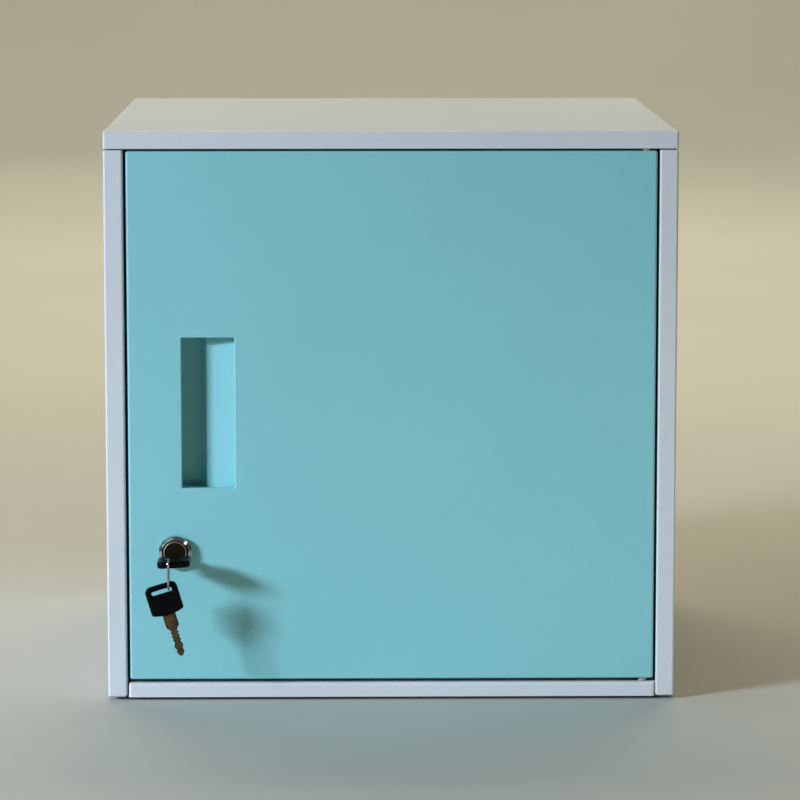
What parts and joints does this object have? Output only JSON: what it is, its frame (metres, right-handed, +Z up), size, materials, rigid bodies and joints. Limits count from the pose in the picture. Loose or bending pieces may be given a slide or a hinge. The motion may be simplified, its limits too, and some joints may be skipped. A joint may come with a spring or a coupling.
{
  "type": "bedside cabinet",
  "caption": "Cube-shaped lockable steel bedside cabinet with an inset side-hinged door, recessed handle, cam lock and keys.",
  "frame": {"origin": "on the floor, under the middle of the cabinet body", "axes": "+Z up, +X to the right as the door is faced, +Y towards the back, so the door faces -Y"},
  "size_m": [0.38, 0.42, 0.382],
  "materials": {
    "body_paint": "satin",
    "door_paint": "satin",
    "back_paint": "satin",
    "rivet_aluminium": "satin",
    "pin_steel": "satin",
    "nylon": "satin",
    "lock_chrome": "polished",
    "nut_steel": "satin",
    "plug_metal": "polished",
    "cam_steel": "satin",
    "key_plastic": "gloss",
    "key_brass": "satin",
    "loop_steel": "polished",
    "foot_rubber": "matte",
    "buffer_rubber": "matte"
  },
  "bodies": {
    "cabinet": {"top_panel": "body_paint", "left_side_panel": "body_paint", "right_side_panel": "body_paint", "bottom_panel": "body_paint", "back_panel": "back_paint", "back_rivets": "rivet_aluminium", "foot_front_left": "foot_rubber", "foot_front_right": "foot_rubber", "foot_back_left": "foot_rubber", "foot_back_right": "foot_rubber", "hinge_pin_lower": "pin_steel", "hinge_pin_upper": "pin_steel", "door_buffer_lower": "buffer_rubber", "door_buffer_upper": "buffer_rubber"},
    "door": {"door_skin": "door_paint", "handle_pocket": "door_paint", "hinge_bush_lower": "nylon", "hinge_bush_upper": "nylon", "lock_body": "lock_chrome", "lock_nut": "nut_steel"},
    "lock_core": {"lock_plug": "plug_metal", "lock_cam": "cam_steel", "cam_screw": "pin_steel"},
    "key": {"key_head": "key_plastic", "key_blade": "key_brass"},
    "loop": {"key_loop": "loop_steel"},
    "spare_key": {"spare_key_head": "key_plastic", "spare_key_blade": "key_brass"}
  },
  "joints": [
    {"name": "door_swing", "type": "hinge", "parent": "cabinet", "child": "door", "pos_m": [0.1689, -0.1855, 0.19], "axis": [0, 0, 1], "range_deg": [0, 110]},
    {"name": "key_turn", "type": "hinge", "parent": "door", "child": "lock_core", "pos_m": [-0.1442, -0.19, 0.1012], "axis": [0, 1, 0], "range_deg": [0, 93]},
    {"name": "key_pull", "type": "slide", "parent": "lock_core", "child": "key", "axis": [0, -1, 0], "range_m": [0, 0.025]},
    {"name": "loop_sway", "type": "hinge", "parent": "key", "child": "loop", "pos_m": [-0.1474, -0.22445, 0.10203], "axis": [0, 1, 0], "range_deg": [-50, 20]},
    {"name": "spare_key_sway", "type": "hinge", "parent": "loop", "child": "spare_key", "pos_m": [-0.1474, -0.22445, 0.08233], "axis": [0, 1, 0], "range_deg": [-40, 40]}
  ]
}
